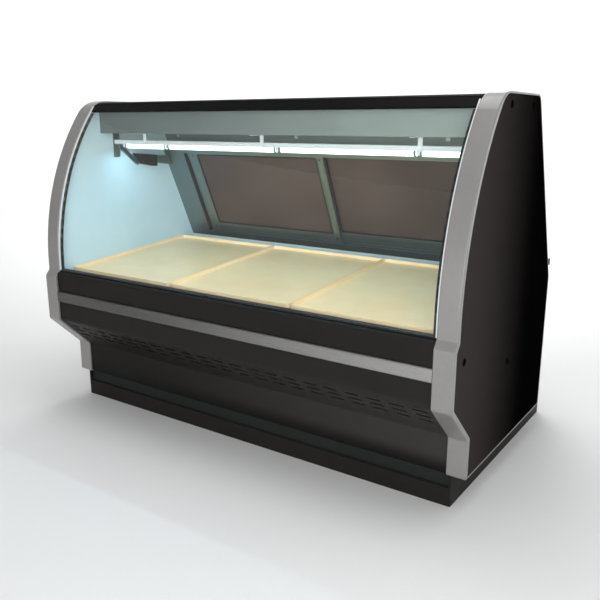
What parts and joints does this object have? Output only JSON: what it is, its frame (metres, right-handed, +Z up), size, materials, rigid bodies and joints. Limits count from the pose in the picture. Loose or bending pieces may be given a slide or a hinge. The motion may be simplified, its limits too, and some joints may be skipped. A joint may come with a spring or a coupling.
{
  "type": "refrigerated deli case",
  "caption": "Refrigerated deli display case with curved lift-up front glass, rear sliding doors, lit canopy, louvred lower front and end panels with edge mouldings.",
  "frame": {"origin": "on the floor, under the middle of the whole case", "axes": "+X along the counter to the customer-side right, -Y towards the customer, +Z up"},
  "size_m": [1.9, 1.12, 1.33],
  "materials": {
    "black_steel": "satin",
    "kick_plate_dark": "matte",
    "grey_moulding": "satin",
    "grey_bumper": "satin",
    "white_steel": "satin",
    "foam_core": "matte",
    "black_plastic": "matte",
    "black_rubber": "matte",
    "black_aluminium": "satin",
    "grey_canopy": "satin",
    "clear_glass": "polished",
    "door_glass": "polished",
    "satin_aluminium": "satin",
    "white_lamp_metal": "satin",
    "lamp": "satin",
    "stainless_steel": "satin",
    "cream_tray": "satin",
    "coil_metal": "satin",
    "galvanised_steel": "satin",
    "motor_metal": "satin",
    "fan_plastic": "satin",
    "copper_pipe": "satin",
    "white_pvc": "satin"
  },
  "bodies": {
    "cabinet": {"air_grille": "black_plastic", "ballast_box": "black_plastic", "base_frame": "black_steel", "bumper_rail": "grey_bumper", "cable_gland": "black_plastic", "canopy_fascia": "grey_canopy", "canopy_top": "grey_canopy", "compressor": "motor_metal", "condenser_coil": "coil_metal", "condenser_fan_motor": "motor_metal", "condenser_shroud": "galvanised_steel", "condensing_unit_base": "black_steel", "control_box": "stainless_steel", "deck_supports": "stainless_steel", "door_head_track": "satin_aluminium", "door_jambs": "satin_aluminium", "door_sill_track": "satin_aluminium", "drain_pipe": "white_pvc", "end_panel_plugs": "black_plastic", "evaporator_coil": "coil_metal", "evaporator_fan_motors": "motor_metal", "evaporator_plenum": "galvanised_steel", "glass_hinge_rail": "black_aluminium", "glass_sill": "black_rubber", "kick_plate": "kick_plate_dark", "lamp_tubes": "lamp", "left_edge_trim": "grey_moulding", "left_end_core": "foam_core", "left_inner_liner": "white_steel", "left_outer_skin": "black_steel", "light_brackets": "satin_aluminium", "light_housing": "white_lamp_metal", "lower_front_panel": "black_steel", "panel_screws": "stainless_steel", "rear_access_panel": "black_steel", "rear_housing": "black_steel", "rear_ledge": "stainless_steel", "refrigerant_lines": "copper_pipe", "right_edge_trim": "grey_moulding", "right_end_core": "foam_core", "right_inner_liner": "white_steel", "right_outer_skin": "black_steel", "tank_body": "foam_core", "tank_liner": "white_steel", "upper_fascia": "black_steel"},
    "glass_lid": {"front_glass": "clear_glass", "glass_clamp": "black_aluminium", "glass_end_seals": "black_rubber"},
    "left_door": {"left_door_frame": "satin_aluminium", "left_door_glass": "door_glass"},
    "right_door": {"right_door_frame": "satin_aluminium", "right_door_glass": "door_glass"},
    "left_pan": {"deck_pan_left": "cream_tray"},
    "centre_pan": {"deck_pan_centre": "cream_tray"},
    "right_pan": {"deck_pan_right": "cream_tray"},
    "left_evaporator_fan": {"evaporator_fan_left": "fan_plastic"},
    "right_evaporator_fan": {"evaporator_fan_right": "fan_plastic"},
    "condenser_fan_rotor": {"condenser_fan": "fan_plastic"},
    "light_switch_rocker": {"light_switch": "black_plastic"},
    "thermostat_dial": {"thermostat_knob": "black_plastic"}
  },
  "joints": [
    {"name": "front_glass_lift", "type": "hinge", "parent": "cabinet", "child": "glass_lid", "pos_m": [0, -0.27, 1.31], "axis": [-1, 0, 0], "range_deg": [0, 60]},
    {"name": "left_door_slide", "type": "slide", "parent": "cabinet", "child": "left_door", "axis": [1, 0, 0], "range_m": [0, 0.735]},
    {"name": "right_door_slide", "type": "slide", "parent": "cabinet", "child": "right_door", "axis": [-1, 0, 0], "range_m": [0, 0.735]},
    {"name": "left_pan_lift", "type": "slide", "parent": "cabinet", "child": "left_pan", "axis": [0, 0, 1], "range_m": [0, 0.1]},
    {"name": "centre_pan_lift", "type": "slide", "parent": "cabinet", "child": "centre_pan", "axis": [0, 0, 1], "range_m": [0, 0.1]},
    {"name": "right_pan_lift", "type": "slide", "parent": "cabinet", "child": "right_pan", "axis": [0, 0, 1], "range_m": [0, 0.1]},
    {"name": "left_evaporator_fan_spin", "type": "hinge", "parent": "cabinet", "child": "left_evaporator_fan", "pos_m": [-0.35, -0.12, 0.536], "axis": [0, 1, 0], "continuous": true},
    {"name": "right_evaporator_fan_spin", "type": "hinge", "parent": "cabinet", "child": "right_evaporator_fan", "pos_m": [0.35, -0.12, 0.536], "axis": [0, 1, 0], "continuous": true},
    {"name": "condenser_fan_spin", "type": "hinge", "parent": "cabinet", "child": "condenser_fan_rotor", "pos_m": [-0.13, -0.22, 0.244], "axis": [0, 1, 0], "continuous": true},
    {"name": "light_switch_rock", "type": "hinge", "parent": "cabinet", "child": "light_switch_rocker", "pos_m": [0.718, 0.53725, 0.605], "axis": [-1, 0, 0], "range_deg": [0, 16]},
    {"name": "thermostat_turn", "type": "hinge", "parent": "cabinet", "child": "thermostat_dial", "pos_m": [0.794, 0.545, 0.605], "axis": [0, 1, 0], "range_deg": [0, 270]}
  ]
}
